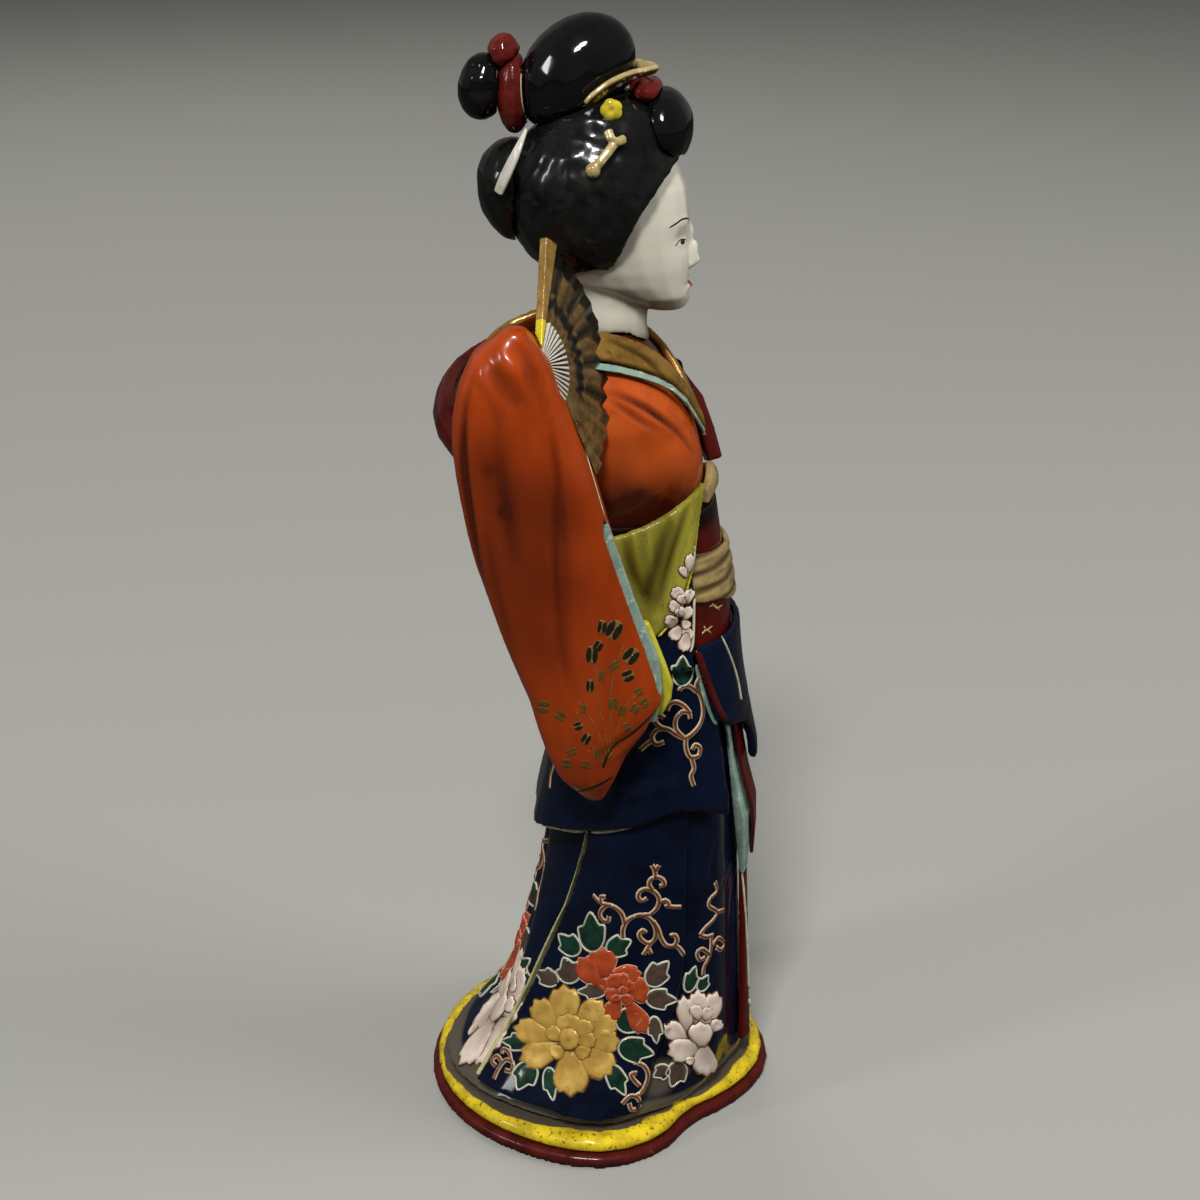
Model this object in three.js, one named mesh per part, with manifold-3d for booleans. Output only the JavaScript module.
// A glazed ceramic figurine of a standing lady in layered robes, holding an open fan.
// It is a hollow press-moulded body with separately moulded sleeves, fan, head, hair and trims.
// Millimetres, +Z up. She faces -Y, her right hand side is -X, and the origin is the centre of the foot.

import * as THREE from "three";
import Module from "manifold-3d";
import { mergeVertices } from "three/addons/utils/BufferGeometryUtils.js";

const wasm = await Module();
wasm.setup();

// Overall heights, from the table upwards
const footHeight = 4.4;
const hemHeight = 5.6;
const skirtHeight = 164.7;
const obiHeight = 45;
const chestHeight = 56;
const faceHeight = 41;

// Clay thickness and the slip joint between two moulded pieces
const wall = 4.5;
const joint = 0.3;
const lie = 0.6;
const clothThickness = 2.4;
const trimThickness = 1.6;
const edgeThickness = 1.3;
const footVentRadius = 15;

// Landmarks, worked out from the heights
const zFoot = footHeight;
const zHem = zFoot + joint + hemHeight;
const zSkirt = zHem + joint;
const zObi = zSkirt + skirtHeight;
const zChest = zObi + obiHeight;
const zNeck = zChest + chestHeight;
const zChin = zNeck + 6;
const zHairline = zChin + faceHeight;

// Angles round the figure run from her left at 0, by her back at 90, to her front at 270
const rad = THREE.MathUtils.degToRad;

// Glaze and enamel colours
const glaze = (color, roughness = 0.25, metalness = 0) =>
  new THREE.MeshStandardMaterial({ color, roughness, metalness });
const porcelain = glaze(0xe9e4d8, 0.2);
const hairBlack = glaze(0x0b0b0c, 0.15);
const navy = glaze(0x0a1233, 0.15);
const orange = glaze(0xb5421a, 0.3);
const obiRed = glaze(0x6d140d, 0.2);
const hemYellow = glaze(0xe3c92a, 0.35);
const liningYellow = glaze(0xa7a02f, 0.35);
const mint = glaze(0x9fc9b0, 0.3);
const gold = glaze(0x9a6b22, 0.35, 0.5);
const tan = glaze(0xb39a68, 0.4);
const ribbonRed = glaze(0x8a2219, 0.2);
const cream = glaze(0xd8d39a, 0.35);

// Small mathematics

const mix = THREE.MathUtils.lerp;
const clamp = THREE.MathUtils.clamp;
const smooth = (t) => THREE.MathUtils.smoothstep(t, 0, 1);
const bump = (x, centre, width) => Math.exp(-(((x - centre) / width) ** 2));

// The smallest turn from angle b to angle a, in degrees
const turn = (a, b) => ((a - b + 540) % 360) - 180;

// Values between the rows of a table whose first column rises, on a smooth curve
function between(rows, at) {
  const last = rows.length - 1;
  let i = rows.findIndex((row) => row[0] > at) - 1;
  if (i === -2) i = last - 1;
  i = clamp(i, 0, last - 1);
  const [a, b] = [rows[i], rows[i + 1]];
  const before = rows[Math.max(i - 1, 0)];
  const after = rows[Math.min(i + 2, last)];
  const h = b[0] - a[0];
  const t = clamp((at - a[0]) / h, 0, 1);
  return a.slice(1).map((value, k) => {
    const next = b[k + 1];
    const m0 = ((next - before[k + 1]) / Math.max(b[0] - before[0], 1e-6)) * h;
    const m1 = ((after[k + 1] - value) / Math.max(after[0] - a[0], 1e-6)) * h;
    const t2 = t * t;
    const t3 = t2 * t;
    return (
      (2 * t3 - 3 * t2 + 1) * value +
      (t3 - 2 * t2 + t) * m0 +
      (3 * t2 - 2 * t3) * next +
      (t3 - t2) * m1
    );
  });
}

// A point of a rounded box-like oval, n = 2 being an ellipse
function oval(halfX, halfY, angle, n = 2) {
  const c = Math.cos(rad(angle));
  const s = Math.sin(rad(angle));
  const power = 2 / n;
  return [
    halfX * Math.sign(c) * Math.abs(c) ** power,
    halfY * Math.sign(s) * Math.abs(s) ** power,
  ];
}

// Solids

function toSolid(geometry) {
  const bare = geometry.index ? geometry.toNonIndexed() : geometry.clone();
  const positions = new THREE.BufferGeometry();
  positions.setAttribute("position", bare.getAttribute("position"));
  const merged = mergeVertices(positions, 1e-4);
  const vertProperties = merged.attributes.position.array;
  const triVerts = new Uint32Array(merged.index.array);
  const solid = new wasm.Manifold(new wasm.Mesh({ numProp: 3, vertProperties, triVerts }));
  if (solid.volume() >= 0) return solid;
  for (let i = 0; i < triVerts.length; i += 3) {
    [triVerts[i + 1], triVerts[i + 2]] = [triVerts[i + 2], triVerts[i + 1]];
  }
  return new wasm.Manifold(new wasm.Mesh({ numProp: 3, vertProperties, triVerts }));
}

function toGeometry(solid) {
  const mesh = solid.getMesh();
  const stride = mesh.numProp;
  const points = new Float32Array(mesh.numVert * 3);
  for (let i = 0; i < mesh.numVert; i += 1) {
    points.set(mesh.vertProperties.subarray(i * stride, i * stride + 3), i * 3);
  }
  const geometry = new THREE.BufferGeometry();
  geometry.setAttribute("position", new THREE.BufferAttribute(points, 3));
  geometry.setIndex(new THREE.BufferAttribute(mesh.triVerts, 1));
  return geometry;
}

function geometryFrom(points, faces) {
  const positions = points.flatMap((p) => [p.x, p.y, p.z]);
  const geometry = new THREE.BufferGeometry();
  geometry.setAttribute("position", new THREE.Float32BufferAttribute(positions, 3));
  geometry.setIndex(faces);
  return geometry;
}

// The largest piece of a, once the others are cut away
function cut(a, ...others) {
  const left = others.reduce((solid, other) => solid.subtract(other), a);
  const bodies = left.decompose();
  return bodies.reduce((best, body) => (body.volume() > best.volume() ? body : best));
}

function boxOf(solid) {
  const { min, max } = solid.boundingBox();
  return new THREE.Box3(new THREE.Vector3(...min), new THREE.Vector3(...max));
}

// A closed solid through rings of equal length, capped at both ends
function loft(rings) {
  const n = rings[0].length;
  const points = rings.flat();
  const faces = [];
  for (let r = 0; r < rings.length - 1; r += 1) {
    for (let i = 0; i < n; i += 1) {
      const j = (i + 1) % n;
      const a = r * n + i;
      const b = r * n + j;
      faces.push(a, b, b + n, a, b + n, a + n);
    }
  }
  [0, rings.length - 1].forEach((r) => {
    const middle = new THREE.Vector3();
    rings[r].forEach((p) => middle.addScaledVector(p, 1 / n));
    const centre = points.push(middle) - 1;
    for (let i = 0; i < n; i += 1) {
      const a = r * n + i;
      const b = r * n + ((i + 1) % n);
      faces.push(...(r ? [a, b, centre] : [b, a, centre]));
    }
  });
  return toSolid(geometryFrom(points, faces));
}

// A closed sheet between an outer and an inner face, each a function of two shares from 0 to 1
function sheet(outer, inner, columns, rows) {
  const points = [];
  const faces = [];
  const width = columns + 1;
  const layer = width * (rows + 1);
  [outer, inner].forEach((face) => {
    for (let r = 0; r <= rows; r += 1) {
      for (let c = 0; c <= columns; c += 1) points.push(face(c / columns, r / rows));
    }
  });
  const quad = (a, b, c, d) => faces.push(a, b, c, a, c, d);
  for (let r = 0; r < rows; r += 1) {
    for (let c = 0; c < columns; c += 1) {
      const a = r * width + c;
      quad(a, a + 1, a + 1 + width, a + width);
      quad(layer + a, layer + a + width, layer + a + 1 + width, layer + a + 1);
    }
    const left = r * width;
    const right = left + columns;
    quad(left, left + width, layer + left + width, layer + left);
    quad(right, layer + right, layer + right + width, right + width);
  }
  for (let c = 0; c < columns; c += 1) {
    const top = rows * width + c;
    quad(c, layer + c, layer + c + 1, c + 1);
    quad(top, top + 1, layer + top + 1, layer + top);
  }
  return toSolid(geometryFrom(points, faces));
}

// An ellipsoid whose long axis leans by a tilt about X
function ellipsoid(centre, radii, tilt = 0, around = 20, rows = 12) {
  const geometry = new THREE.SphereGeometry(1, around, rows);
  geometry.rotateX(Math.PI / 2);
  geometry.scale(...radii);
  geometry.rotateX(rad(tilt));
  geometry.translate(...centre);
  return toSolid(geometry);
}

function cylinder(radius, bottom, top, x = 0, y = 0, sides = 20) {
  const geometry = new THREE.CylinderGeometry(radius, radius, top - bottom, sides);
  geometry.rotateX(Math.PI / 2);
  geometry.translate(x, y, (bottom + top) / 2);
  return toSolid(geometry);
}

// A round bar along a smooth curve through some points
function bar(points, radius, sides = 8, steps = 16) {
  const curve = new THREE.CatmullRomCurve3(points.map((p) => new THREE.Vector3(...p)));
  const section = new THREE.Shape();
  for (let i = 0; i < sides; i += 1) {
    const angle = (i / sides) * 2 * Math.PI;
    const at = [radius * Math.cos(angle), radius * Math.sin(angle)];
    if (i) section.lineTo(...at);
    else section.moveTo(...at);
  }
  section.closePath();
  return toSolid(new THREE.ExtrudeGeometry(section, { extrudePath: curve, steps, bevelEnabled: false }));
}

// The foot and the spread hem. Each row is an angle and the hem's reach there
const hemRows = [
  [-84.5, 61.4],
  [-60, 60.5],
  [-30, 59.5],
  [0, 60],
  [30, 60.5],
  [60, 61],
  [90, 61],
  [112, 60.6],
  [131, 59.6],
  [152, 58.9],
  [170, 59.8],
  [183, 60],
  [197, 57.3],
  [212, 52.3],
  [220, 48.9],
  [232, 51],
  [245, 54.7],
  [261, 59.6],
  [275.5, 61.4],
  [300, 60.5],
];

function hemPoint(angle, inset, z) {
  const wrapped = ((angle + 60) % 360 + 360) % 360 - 60;
  const reach = between(hemRows, wrapped)[0] - inset;
  return new THREE.Vector3(reach * Math.cos(rad(angle)), reach * Math.sin(rad(angle)), z);
}

const hemSteps = 40;
const hemRing = (inset, z) =>
  Array.from({ length: hemSteps }, (_, i) => hemPoint((i * 360) / hemSteps, inset, z));

// The dark red underside of the hem, standing on a flat foot ring with a vent
function makeFoot(grow = 0) {
  const slab = loft([
    hemRing(1.6 - grow, -grow),
    hemRing(0.2 - grow, 1.2),
    hemRing(-grow, footHeight * 0.5),
    hemRing(0.9 - grow, footHeight + grow),
  ]);
  return cut(slab, cylinder(footVentRadius - grow, -1, zFoot + 1, 0, -8, 20));
}

// The padded yellow edge of the hem
const hemInset = 2.2;
const hemRoll = 6.5;
function makeHem(grow = 0) {
  const inset = hemInset - grow;
  const rings = [
    hemRing(inset + 0.8, zFoot + joint + grow / 2),
    hemRing(inset, zFoot + joint + hemHeight * 0.3),
    hemRing(inset + 0.5, zHem - hemHeight * 0.3),
    hemRing(inset + 2.2, zHem - 0.6 + grow / 2),
    hemRing(inset + hemRoll * 0.6, zHem + grow / 2),
    hemRing(inset + hemRoll, zHem - 0.2 + grow / 2),
    hemRing(inset + hemRoll + 3, zHem - 0.4 + grow / 2),
  ];
  return cut(loft(rings), cylinder(footVentRadius - grow, zFoot, zHem + 1, 0, -8, 20));
}

// The body under all her clothes. Each row is a height, the front, the back and the half width
const bodyRows = [
  [zSkirt, -52, 42, 47],
  [zSkirt + 10, -50.5, 36, 45],
  [zSkirt + 28, -49, 31, 42.5],
  [zSkirt + 48, -48, 26, 40.5],
  [zSkirt + 68, -47, 21, 38.5],
  [zObi - 75, -46, 17.5, 37.3],
  [zObi - 55, -45, 14.5, 36],
  [zObi - 35, -43.5, 13, 34],
  [zObi - 15, -41, 12.5, 31],
  [zObi, -39.5, 14, 28.5],
  [zObi + obiHeight / 3, -38.5, 18, 26.5],
  [zObi + (obiHeight * 2) / 3, -36, 22, 26],
  [zChest, -33.5, 27, 27.5],
  [zNeck - 41, -32.5, 32, 29],
  [zNeck - 28, -29, 35, 30],
  [zNeck - 20, -25.5, 35, 29],
  [zNeck - 13, -21, 31, 25.5],
  [zNeck - 7, -17.5, 23, 20],
  [zNeck - 2, -12.8, 15, 15],
  [zNeck, -11, 11.5, 12.5],
];

const trainReach = 7;
const trainRise = 32;

// How much the skirt spreads on to the hem, which is most behind and to her left
const spread = (angle) => 0.95 - 0.6 * bump(turn(angle, 200), 0, 42);

function bodyMid(angle, z) {
  const [front, back, half] = between(bodyRows, z);
  const [x, y] = oval(half, (back - front) / 2, angle, 2.15);
  const point = new THREE.Vector3(x, y + (front + back) / 2, z);
  const low = clamp(1 - (z - zSkirt) / trainRise, 0, 1);
  if (low > 0) {
    const way = THREE.MathUtils.radToDeg(Math.atan2(point.y, point.x));
    point.lerp(hemPoint(way, hemInset + trainReach, z), spread(angle) * low ** 2.2);
  }
  const flute = clamp((zObi - 12 - z) / 70, 0, 1) * clamp((z - zSkirt) / 12 + 0.3, 0, 1);
  const wave = 0.9 * Math.sin(rad(7 * angle)) + 0.5 * Math.sin(rad(11 * angle + 40));
  const out = new THREE.Vector3(x, y, 0).normalize();
  return point.addScaledVector(out, flute * wave);
}

// A point at a distance outside the body, along its outward normal
function bodyPoint(angle, z, out = 0) {
  const at = bodyMid(angle, z);
  const across = bodyMid(angle + 2, z).sub(bodyMid(angle - 2, z));
  const up = bodyMid(angle, z + 1.5).sub(bodyMid(angle, z - 1.5));
  return at.addScaledVector(across.cross(up).normalize(), out);
}

// A closed stretch of the body between two heights, at some distance outside it. An ease above 1
// brings its levels closer together towards the bottom
function trunk(bottom, top, out, count, levels, ease = 1) {
  const rings = [];
  for (let level = 0; level <= levels; level += 1) {
    const z = mix(bottom, top, (level / levels) ** ease);
    const ring = [];
    for (let i = 0; i < count; i += 1) {
      const point = bodyPoint((i * 360) / count, clamp(z, zSkirt, zNeck), out);
      ring.push(point.setZ(z));
    }
    rings.push(ring);
  }
  return loft(rings);
}

// A cloth panel lying round the body between two angles and two heights, at some distance outside it.
// An edge may be a number or a function of the share along the panel's other way
const along = (edge, t) => (typeof edge === "function" ? edge(t) : edge);

function drape({ from, to, bottom, top, inner, thick, columns, rows, swell = () => 0 }) {
  return (grow = 0) => {
    const face = (outer) => (s, t) => {
      const angle = mix(along(from, t), along(to, t), s);
      const z = mix(along(bottom, s), along(top, s), t);
      const out = along(inner, t) + (outer ? thick + swell(s, t) + grow : -grow);
      const point = bodyPoint(angle, z, out);
      return grow ? point.add(spill(angle, z, s, t, grow)) : point;
    };
    return sheet(face(true), face(false), columns, rows);
  };
}

// Moves the rim of a grown panel outwards within its own surface
function spill(angle, z, s, t, grow) {
  const across = bodyMid(angle + 2, z).sub(bodyMid(angle - 2, z)).normalize();
  const push = new THREE.Vector3(0, 0, t === 0 ? -grow : t === 1 ? grow : 0);
  return push.addScaledVector(across, s === 0 ? -grow : s === 1 ? grow : 0);
}

// A band between two edge curves in space, with a crowned outer face
function ribbon(edgeA, edgeB, thick, columns, rows, crown = 0) {
  const [a, b] = [edgeA, edgeB].map(
    (edge) => new THREE.CatmullRomCurve3(edge.map((p) => new THREE.Vector3(...p))),
  );
  return (grow = 0) => {
    const face = (side) => (s, t) => {
      const [pa, pb] = [a.getPoint(t), b.getPoint(t)];
      const across = pb.clone().sub(pa);
      const normal = across.clone().cross(a.getTangent(t)).normalize();
      const lift = thick / 2 + grow + (side > 0 ? crown * Math.sin(Math.PI * s) : 0);
      const stretch = s + (grow / across.length()) * (s === 0 ? -1 : s === 1 ? 1 : 0);
      return pa.addScaledVector(across, stretch).addScaledVector(normal, side * lift);
    };
    return sheet(face(1), face(-1), columns, rows);
  };
}

// A closed column from rows of height, least X, greatest X, front and back
function column(columnRows, count, levels, n = 2.4) {
  return (grow = 0) => {
    const rings = [];
    const bottom = columnRows[0][0];
    const top = columnRows[columnRows.length - 1][0];
    for (let level = 0; level <= levels; level += 1) {
      const z = mix(bottom, top, level / levels);
      const [x0, x1, y0, y1] = between(columnRows, z);
      const ring = [];
      for (let i = 0; i < count; i += 1) {
        const [x, y] = oval((x1 - x0) / 2 + grow, (y1 - y0) / 2 + grow, (i * 360) / count, n);
        const end = level === 0 ? -grow : level === levels ? grow : 0;
        ring.push(new THREE.Vector3((x0 + x1) / 2 + x, (y0 + y1) / 2 + y, z + end));
      }
      rings.push(ring);
    }
    return loft(rings);
  };
}

const egg = (centre, radii, tilt = 0, around = 20, rows = 12) =>
  (grow = 0) => ellipsoid(centre, radii.map((r) => r + grow), tilt, around, rows);

// The figure, built up piece by piece. Each piece is cut back by the earlier ones that it touches
const figure = new THREE.Group();
const grown = [];

function place(name, make, material) {
  const whole = make(0);
  const near = grown.filter((other) => boxOf(other).intersectsBox(boxOf(whole)));
  const solid = cut(whole, ...near);
  grown.push(make(joint));
  const mesh = new THREE.Mesh(toGeometry(solid), material);
  mesh.name = name;
  figure.add(mesh);
}

place("foot", makeFoot, obiRed);
place("hem_roll", makeHem, hemYellow);

// The hollow trunk: skirt, sash and upper robe are three rings of it
const trunkSides = 36;
const skirtLevels = 11;
const apronHeight = 3.2;
const apronReach = 6.2;
function makeApron(grow) {
  const inner = Array.from({ length: hemSteps }, (_, i) => {
    return bodyMid((i * 360) / hemSteps, zSkirt + apronHeight).setZ(zSkirt + apronHeight + grow);
  });
  const reach = hemInset + apronReach - grow;
  return loft([hemRing(reach, zSkirt), hemRing(reach + 0.4, zSkirt + 0.7 + grow), inner]);
}

function makeSkirt(grow = 0) {
  const shell = trunk(zSkirt, zObi - joint, grow, trunkSides, skirtLevels, 1.3);
  return shell.add(makeApron(grow)).subtract(trunk(zSkirt - 1, zObi, -wall - grow, 20, 6));
}

place("skirt_body", makeSkirt, navy);

// The upper robe closes over the shoulders round the neck
function makeTorso(grow = 0) {
  const shell = trunk(zObi - grow, zNeck + grow, grow, trunkSides, 12);
  if (grow) return shell;
  return shell.subtract(trunk(zObi - 1, zNeck - 16, -wall, 20, 5));
}

place("upper_robe", makeTorso, orange);

// The sash is wound round the upper robe
const obiThick = 3;
const obiTop = zChest + 1.5;
const sash = (thick) => (grow = 0) => {
  const shell = trunk(zObi - grow, obiTop + grow, lie + thick + grow, trunkSides, 4);
  return shell.subtract(trunk(zObi - 2, obiTop + 2, lie - grow, trunkSides, 5));
};

place("obi", sash(obiThick), obiRed);

// Skirt panels
const panelTop = zObi - 42;
const panelEdges = [
  [0, 121, 185],
  [0.05, 119, 188],
  [0.19, 120, 194],
  [0.33, 126.5, 201],
  [0.47, 131.5, 204],
  [0.6, 138, 203.5],
  [0.8, 145, 203],
  [1, 150, 203],
];
const panelFrom = (t) => between(panelEdges, t)[0];
place(
  "front_panel",
  drape({
    from: panelFrom,
    to: (t) => between(panelEdges, t)[1],
    bottom: zSkirt + 3.6,
    top: panelTop,
    inner: (t) => lie + 1.4 * bump(t, 0, 0.12),
    thick: clothThickness,
    columns: 11,
    rows: 12,
    swell: (s, t) => 1.6 * bump(t, 0.03, 0.06) * Math.sin(Math.PI * clamp(s, 0.03, 0.97)) ** 0.5,
  }),
  navy,
);

const pipingRows = 10;
place(
  "panel_piping",
  drape({
    from: (t) => panelFrom(t) - mix(2.6, 2, t),
    to: (t) => panelFrom(t) - 0.6,
    bottom: zSkirt + 4.5,
    top: panelTop,
    inner: lie,
    thick: clothThickness + 0.6,
    columns: 2,
    rows: pipingRows,
  }),
  cream,
);

// The robe is tucked up at the hip, where its fold hangs over the skirt
const foldHems = [
  [20, -62],
  [60, -69],
  [102, -70],
  [119, -65],
  [140, -60],
  [156, -57],
  [180, -51.5],
  [194, -49],
  [208, -50],
  [220, -54],
  [227, -56],
];
const foldHem = (angle) => zObi + between(foldHems, angle)[0];
place(
  "hip_fold",
  drape({
    from: 20,
    to: 227,
    bottom: (s) => foldHem(mix(20, 227, s)),
    top: zObi + 1,
    inner: (t) => mix(3.4, lie, smooth(t * 1.15)),
    thick: clothThickness,
    columns: 24,
    rows: 7,
    swell: (s, t) => 1.1 * bump(t, 0.06, 0.12),
  }),
  navy,
);

place(
  "hip_fold_lining",
  drape({
    from: 104,
    to: 222,
    bottom: (s) => foldHem(mix(104, 222, s)) - 1.3,
    top: (s) => foldHem(mix(104, 222, s)) + 12,
    inner: 2,
    thick: trimThickness,
    columns: 10,
    rows: 2,
  }),
  cream,
);

// The robe's front edge falls from the sash in layers, red over mint
const edgeBottom = zObi - 90;
const frontBulge = 2.6;
place(
  "front_edge_mint",
  drape({
    from: (t) => mix(259, 238, t),
    to: (t) => mix(276, 284, t),
    bottom: edgeBottom,
    top: zObi - 8,
    inner: (t) => mix(1.6, lie, smooth(t * 1.2)),
    thick: edgeThickness,
    columns: 3,
    rows: 7,
    swell: (s, t) => frontBulge * bump(t, 0.27, 0.18),
  }),
  mint,
);

place(
  "front_edge_red",
  drape({
    from: (t) => mix(265, 241, t),
    to: (t) => mix(284, 288, t),
    bottom: edgeBottom + 5,
    top: zObi - 4,
    inner: (t) => mix(3.6, 2.4, smooth(t * 1.2)) + frontBulge * bump(t, 0.24, 0.17),
    thick: edgeThickness,
    columns: 3,
    rows: 7,
  }),
  obiRed,
);

const flapEdge = [
  [0, 262],
  [0.3, 256],
  [0.38, 241],
  [0.42, 229],
  [0.46, 223],
  [0.6, 218.5],
  [0.8, 214.5],
  [1, 211],
];
place(
  "front_flap",
  drape({
    from: (t) => between(flapEdge, t)[0],
    to: (t) => mix(292, 304, t),
    bottom: (s) => zObi - 47 + 3 * Math.sin(Math.PI * s),
    top: zObi + 4.5,
    inner: (t) => mix(5.2, 4.2, smooth(t * 1.2)),
    thick: clothThickness,
    columns: 10,
    rows: 12,
    swell: (s, t) => 0.8 * bump(t, 0.06, 0.12),
  }),
  navy,
);

// Below them the skirt's own front edge shows its dark red and cream linings
place(
  "skirt_edge_red",
  drape({
    from: (t) => mix(256, 262, t),
    to: (t) => mix(262, 268, t),
    bottom: zSkirt + 8,
    top: edgeBottom + 6,
    inner: lie,
    thick: clothThickness,
    columns: 2,
    rows: 7,
  }),
  obiRed,
);

place(
  "skirt_edge_cream",
  drape({
    from: (t) => mix(262.8, 268.6, t),
    to: (t) => mix(265.5, 271, t),
    bottom: zSkirt + 8,
    top: edgeBottom + 6,
    inner: lie,
    thick: trimThickness,
    columns: 1,
    rows: 7,
  }),
  cream,
);

// Round the sash: its cord and the scarf tucked over it
const onObi = obiThick + 2 * lie;
place(
  "obi_cord",
  drape({
    from: (t) => mix(214.6, 218.4, t),
    to: 318,
    bottom: (s) => zObi + mix(18.5, 12, Math.min(1, s * 2)),
    top: (s) => zObi + mix(35, 30, Math.min(1, s * 2)),
    inner: obiThick + 0.7,
    thick: trimThickness,
    columns: 10,
    rows: 8,
    swell: (s, t) => 0.5 * Math.abs(Math.sin(4 * Math.PI * t)),
  }),
  tan,
);

place(
  "obi_scarf",
  drape({
    from: 248,
    to: 318,
    bottom: (s) => obiTop + joint + 1.5 * Math.sin(Math.PI * s),
    top: (s) => obiTop + 5 + 5 * bump(s, 0.3, 0.22),
    inner: lie,
    thick: clothThickness,
    columns: 8,
    rows: 3,
    swell: (s, t) => 2 * bump(s, 0.3, 0.2) * Math.sin(Math.PI * t),
  }),
  tan,
);

// The outer robe has slipped from her right shoulder. Its front hangs over the sash,
// turned down along the top so that the lining shows
place(
  "robe_right_front",
  drape({
    from: 178,
    to: (t) => mix(208.3, 222.5, t ** 0.9),
    bottom: zObi - 2.5,
    top: (s) => zObi + mix(38, 50, s),
    inner: onObi,
    thick: clothThickness,
    columns: 8,
    rows: 6,
  }),
  navy,
);

const onRobe = onObi + clothThickness + lie;
const liningEdge = (t) => mix(188.5, 232, t ** 0.65);
place(
  "slipped_lining",
  drape({
    from: (t) => mix(185, 168, t),
    to: liningEdge,
    bottom: zObi + 10.5,
    top: (s) => zObi + mix(44, 58, s ** 1.4),
    inner: (t) => mix(onRobe, onRobe - 1.5, t),
    thick: clothThickness,
    columns: 9,
    rows: 8,
    swell: (s, t) => 1.8 * Math.sin(Math.PI * s) ** 2 * Math.sin(Math.PI * t),
  }),
  liningYellow,
);

place(
  "slipped_edge",
  drape({
    from: (t) => liningEdge(t) + 0.6,
    to: (t) => liningEdge(t) + mix(3.2, 2.6, t),
    bottom: zObi + 10.5,
    top: zObi + 57,
    inner: (t) => mix(onRobe, onRobe - 2.5, t),
    thick: trimThickness,
    columns: 1,
    rows: 8,
  }),
  cream,
);

// The outer robe still covers her left shoulder and her back
place(
  "robe_left_front",
  drape({
    from: (t) => mix(322, 300, t),
    to: 378,
    bottom: zObi - 22,
    top: (s) => zNeck - mix(19, 15, s),
    inner: (t) => mix(1, onObi, smooth(t * 2.6)),
    thick: clothThickness,
    columns: 7,
    rows: 8,
  }),
  navy,
);

place(
  "robe_back",
  drape({
    from: 19,
    to: 177,
    bottom: zObi - 22,
    top: (s) => zNeck - 15 - 12 * s - 30 * s ** 4,
    inner: (t) => mix(1, onObi, smooth(t * 2.6)),
    thick: clothThickness,
    columns: 11,
    rows: 8,
  }),
  navy,
);

// Her neck and head. Each row is a height, least X, greatest X, front and back
const neckRows = [
  [zNeck - 14.5, -13.5, 13.5, -17, 12],
  [zNeck - 6, -12, 12, -16, 10],
  [zNeck + 1, -10.6, 10.6, -14.5, 8.5],
  [zChin + 2, -10.2, 10.2, -14.5, 8.5],
  [zChin + 10, -11, 11, -17, 10],
];
const headRows = [
  [zChin, -4.5, 4.5, -25.5, -15],
  [zChin + 2, -8.5, 8.5, -27, -10],
  [zChin + 8, -13.4, 13.4, -27.4, 8],
  [zChin + 15, -16.4, 16.4, -27.4, 16],
  [zChin + 23, -17.8, 17.8, -27.2, 19.5],
  [zChin + 32, -18.3, 18.3, -26.8, 21],
  [zHairline, -17.6, 17.6, -24.8, 20],
  [zHairline + 9, -13.5, 13.5, -19, 16],
  [zHairline + 15, -6, 6, -9, 8],
];

function makeHead(grow = 0) {
  const skull = column(headRows, 20, 12, 2.15)(grow);
  const neck = column(neckRows, 16, 4, 2)(grow);
  const nose = ellipsoid([0, -26.8, zChin + 15.5], [2.3 + grow, 3.1 + grow, 6 + grow], 14, 10, 8);
  return skull.add(neck).add(nose);
}

place("head", makeHead, porcelain);

// Collars, from the neck outwards: gold for the under robe, mint for the edge of the orange robe
const collarFor = (side) => ({
  inner: [
    [0, 38.5, zNeck - 10],
    [side * 14, 29.5, zNeck - 3.5],
    [side * 15.8, 8, zNeck + 3],
    [side * 13.2, -9, zNeck - 0.5],
    [side * 8.2, -20, zNeck - 9],
    [side * 0.5 - 2.5, -29.5, zNeck - 25],
  ],
  outer: [
    [0, 42, zNeck - 18],
    [side * 19.5, 33, zNeck - 11],
    [side * 22, 8, zNeck - 4],
    [side * 19, -10.5, zNeck - 7.5],
    [side * 13, -23.5, zNeck - 15.5],
    [side * 1.5 - 2.5, -32.5, zNeck - 31.5],
  ],
});

function makeCollar(side) {
  const { inner, outer } = collarFor(side);
  return ribbon(inner, outer, clothThickness, 2, 14, 0.8);
}

place("collar_left", makeCollar(1), gold);
place("collar_right", makeCollar(-1), gold);

// The outer robe's maroon collar: down her left front, and slipped low behind her shoulders
place(
  "outer_collar",
  ribbon(
    [
      [12, -37, zChest + 8],
      [19, -30, zNeck - 27],
      [25.5, -14, zNeck - 14],
      [27, 6, zNeck - 8],
      [24, 27, zNeck - 8.5],
      [12, 40.5, zNeck - 12],
      [-4, 45.5, zNeck - 14],
      [-22, 45.5, zNeck - 17],
      [-35, 39, zNeck - 24],
    ],
    [
      [21, -36, zChest + 5],
      [27, -28, zNeck - 32],
      [33, -12, zNeck - 21],
      [34.5, 7, zNeck - 17],
      [30, 30, zNeck - 19],
      [14, 44, zNeck - 23.5],
      [-4, 48.5, zNeck - 25.5],
      [-22, 47.5, zNeck - 28],
      [-35, 41, zNeck - 32],
    ],
    4,
    3,
    18,
    1.6,
  ),
  obiRed,
);

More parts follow.
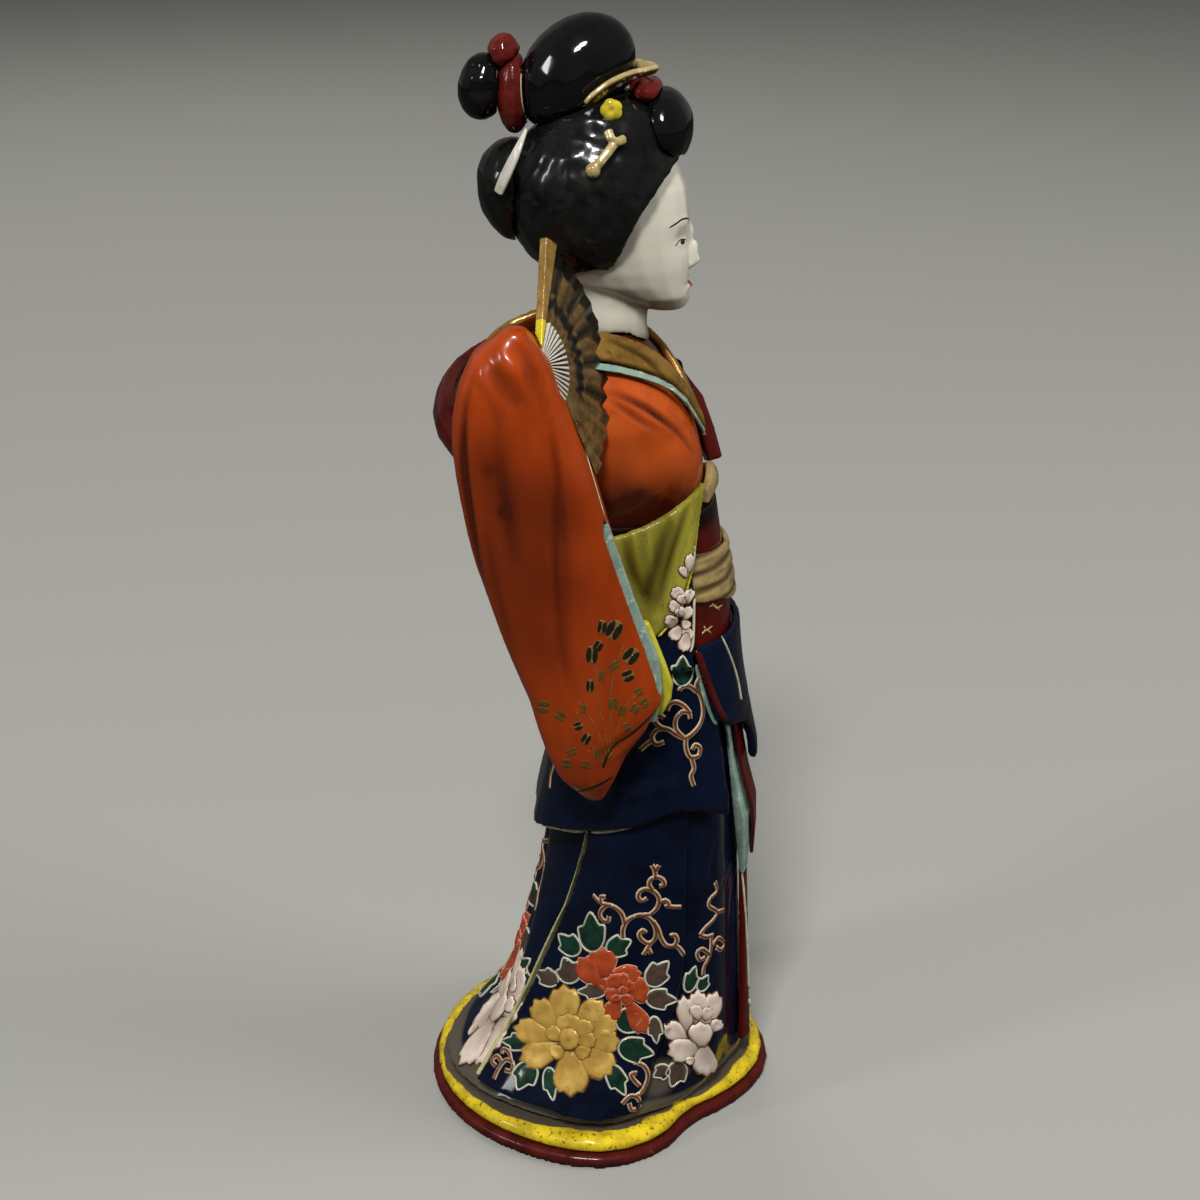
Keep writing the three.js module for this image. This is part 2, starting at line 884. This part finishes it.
// Edges of the orange robe beside the gold collars, in mint
function makeMintEdge(side) {
  const { outer } = collarFor(side);
  const inner = outer.map(([x, y, z]) => [x, y, z]);
  const edge = inner.map(([x, y, z]) => [x * 1.1 + side * 0.3, y - 0.5, z - 2.6]);
  return ribbon(inner, edge, trimThickness, 1, 13);
}

place("mint_edge_right", makeMintEdge(-1), mint);
place(
  "mint_edge_left",
  makeMintEdge(1),
  mint,
);

// The right sleeve is raised and falls as a long bag. Its mouth shows two linings in front
const sleeveRows = [
  [zNeck - 140, -50, -46, -1, 3.5],
  [zNeck - 136, -53, -43, -4.5, 8.5],
  [zNeck - 129, -55, -41, -5.5, 14],
  [zNeck - 120, -56.5, -39, -10, 17.5],
  [zNeck - 110, -57, -38, -17.5, 20.5],
  [zNeck - 104, -57, -37.8, -20, 22],
  [zNeck - 90, -57, -37, -16.7, 27.5],
  [zNeck - 70, -57, -35.5, -10, 34],
  [zNeck - 52, -57, -34, -4.4, 39],
  [zNeck - 32, -57.5, -31, 1.4, 42.5],
  [zNeck - 19, -57.5, -28, 6.5, 43.5],
  [zNeck - 6, -57.5, -27, 11, 41.5],
  [zNeck + 4, -57, -29, 14.5, 37],
  [zNeck + 10, -55.5, -35, 19, 32],
  [zNeck + 13, -52, -43, 21, 27],
];
const sleeveFront = (z) => between(sleeveRows, z)[2];

function makeSleeveLining(x0, x1, proud, top) {
  const rows = [0, 0.25, 0.5, 0.75, 1].map((t) => {
    const z = mix(zNeck - 112, top, t);
    return [z, x0, x1, sleeveFront(z) - proud * (1 - 0.5 * t), sleeveFront(z) + 7];
  });
  return column(rows, 8, 6, 4);
}

place("sleeve_lining_mint", makeSleeveLining(-50, -45.8, 1.7, zNeck - 46), mint);
place("sleeve_lining_yellow", makeSleeveLining(-45.3, -40.5, 4, zNeck - 80), liningYellow);
place(
  "right_sleeve",
  column(sleeveRows, 18, 17, 2.6),
  orange,
);

// The left sleeve hangs from the robe's shoulder
const leftSleeveRows = [
  [zNeck - 160, 44, 48, -6, 2],
  [zNeck - 156, 40, 52, -12, 10],
  [zNeck - 146, 37, 55, -19, 16],
  [zNeck - 126, 35, 56, -22, 20],
  [zNeck - 96, 33.5, 56, -20, 23],
  [zNeck - 66, 32, 54.5, -15, 26],
  [zNeck - 42, 30, 51.5, -10, 29],
  [zNeck - 26, 27, 46, -6, 30],
  [zNeck - 15, 24, 39, -1, 28],
  [zNeck - 9, 24, 33, 4, 24],
];

function makeLeftLining() {
  const rows = [0, 0.33, 0.66, 1].map((t) => {
    const z = mix(zNeck - 148, zNeck - 84, t);
    const front = between(leftSleeveRows, z)[2];
    return [z, 41.5, 49.5, front - 2.5 * (1 - 0.5 * t), front + 7];
  });
  return column(rows, 8, 5, 4);
}

place("left_sleeve_lining", makeLeftLining(), obiRed);
place(
  "left_sleeve",
  column(leftSleeveRows, 16, 12, 2.5),
  navy,
);

// The open fan. It turns about its rivet, held in the top of the right sleeve
const fanRadius = 38.5;
const fanLeafStart = 0.36;
const fanOpening = 119;
const fanRivet = new THREE.Vector3(-50, 18, zNeck + 2.5);
const fanUp = new THREE.Vector3(25, -3, 29).normalize();
const fanAside = new THREE.Vector3(28.5, -20, -13.5);
const fanSide = fanAside.addScaledVector(fanUp, -fanAside.dot(fanUp)).normalize();
const fanNormal = fanUp.clone().cross(fanSide);

function fanPoint(angle, radius, lift = 0) {
  const point = fanRivet.clone().addScaledVector(fanUp, radius * Math.cos(rad(angle)));
  point.addScaledVector(fanSide, radius * Math.sin(rad(angle)));
  return point.addScaledVector(fanNormal, lift);
}

const fanPleats = 12;
const fanSheet = (r0, r1, thick, from, to, columns, rows, wave, lift) => (grow = 0) => {
  const face = (side) => (s, t) => {
    const angle = mix(from, to, s) + (s === 0 ? -grow : s === 1 ? grow : 0);
    const radius = mix(r0 - grow, r1 + grow, t);
    const pleat = wave * t * Math.cos(Math.PI * columns * s);
    return fanPoint(angle, radius, lift + pleat + side * (thick / 2 + grow));
  };
  return sheet(face(-1), face(1), columns, rows);
};

const leafStart = fanRadius * fanLeafStart;
place(
  "fan_guard_near",
  fanSheet(2, fanRadius + 1, 2.6, -4, 4, 2, 6, 0, 0),
  gold,
);
place(
  "fan_leaf",
  fanSheet(leafStart, fanRadius, 1.8, 6, fanOpening - 5, fanPleats * 2, 4, 1.1, 0),
  tan,
);
place(
  "fan_ribs",
  fanSheet(2, leafStart - 0.4, 1.8, 6, fanOpening - 5, fanPleats * 2, 2, 0.5, 0),
  porcelain,
);

place(
  "fan_guard_far",
  fanSheet(2, fanRadius + 1, 2.6, fanOpening - 4, fanOpening + 4, 2, 6, 0, 0),
  gold,
);

// Her hair is glossy black, dressed round a high bun. Its heights rise from the hairline
const crown = (rise) => zHairline + rise;
function makeHairCap(grow = 0) {
  const round = ellipsoid([0, 0.5, crown(-6)], [24.5 + grow, 28.5 + grow, 27.5 + grow], 0, 20, 12);
  const top = ellipsoid([0, -2, crown(9.5)], [19 + grow, 21.5 + grow, 16 + grow], 0, 16, 10);
  const cap = round.add(top);
  if (grow) return cap;
  const opening = ellipsoid([0, -32, crown(-31.3)], [45, 30.5, 39], 0, 20, 14);
  const nape = ellipsoid([0, -2, zChin - 2], [12, 14, 13], 0, 14, 8);
  return cap.subtract(opening).subtract(nape);
}

place("hair_sides", makeHairCap, hairBlack);
place("hair_tail", egg([0, 24.5, crown(-5)], [13, 12.5, 16], -14, 14, 9), hairBlack);
place("hair_front", egg([0, -18.3, crown(13.8)], [15, 9.6, 11.8], 0, 16, 10), hairBlack);
place("hair_bun", egg([0, 6.9, crown(29.2)], [14.5, 15.2, 19.6], 45, 16, 12), hairBlack);
place("hair_band", egg([0, 25.2, crown(23.6)], [8.5, 5.5, 12], 0, 12, 8), ribbonRed);
place("hair_loop", egg([0, 34.5, crown(25.4)], [8.5, 7.4, 10], 10, 14, 8), hairBlack);
place("band_knot", egg([0, 28, crown(35.2)], [6.5, 5, 5.6], 0, 10, 7), ribbonRed);

// Ornaments set in the hair
const combInner = [
  [13, 5, crown(22)],
  [14, -2.5, crown(26.6)],
  [10, -9.5, crown(29.2)],
  [0, -13.5, crown(30)],
];
const combOuter = [
  [17.5, 4.4, crown(20.6)],
  [17.5, -4.5, crown(26)],
  [12.5, -13, crown(29.4)],
  [0, -18, crown(30.4)],
];
const bothSides = (half) => half.concat(half.slice(0, -1).reverse().map(([x, y, z]) => [-x, y, z]));
place("comb", ribbon(bothSides(combInner), bothSides(combOuter), 3, 2, 16, 0.6), gold);
place("comb_cloth", egg([0, -13.5, crown(24.6)], [10.5, 5.5, 4.4], 0, 10, 7), ribbonRed);

// A forked pin with a ball tip in the side hair
const pinHead = new THREE.Vector3(-20, -4, crown(12.5));
const pinTip = new THREE.Vector3(-23.3, 2, crown(5.6));
const forkEnds = [
  [-18.7, -7, crown(13.6)],
  [-20.8, -3.8, crown(13)],
  [-18.9, -2.2, crown(16)],
];
function makeHairpin(grow = 0) {
  const middle = pinHead.clone().lerp(pinTip, 0.5).add(new THREE.Vector3(-1.2, 0, 0));
  const stem = bar([pinHead.toArray(), middle.toArray(), pinTip.toArray()], 1.5 + grow, 6, 3);
  const ball = ellipsoid(pinTip.toArray(), [2.3 + grow, 2.3 + grow, 2.3 + grow], 0, 8, 6);
  return stem.add(ball).add(bar(forkEnds, 1.5 + grow, 6, 3));
}

place("hairpin", makeHairpin, gold);

// A small yellow flower with five lobes under the comb
function makeFlowerPin(grow = 0) {
  const centre = [-14.5, -3.3, crown(21)];
  const petals = [0, 72, 144, 216, 288].map((angle) => {
    const at = [centre[0], centre[1] + 2 * Math.cos(rad(angle)), centre[2] + 2 * Math.sin(rad(angle))];
    return ellipsoid(at, [1.8 + grow, 1.7 + grow, 1.7 + grow], 0, 6, 4);
  });
  return petals.reduce((flower, petal) => flower.add(petal));
}

place("flower_pin", makeFlowerPin, hemYellow);

// The white paper ribbon that ties the hair behind
const paperInner = [
  [-14.5, 20, crown(15.2)],
  [-18.5, 22, crown(8.7)],
  [-17.5, 25.5, crown(1.7)],
  [-14.5, 28, crown(-4.3)],
];
const paperOuter = [
  [-12, 22, crown(15.7)],
  [-15.5, 25, crown(9.2)],
  [-14, 28.5, crown(1.7)],
  [-11.5, 30.5, crown(-3.3)],
];
place("paper_ribbon", ribbon(paperInner, paperOuter, 2.4, 2, 8, 0.4), porcelain);

export default figure;
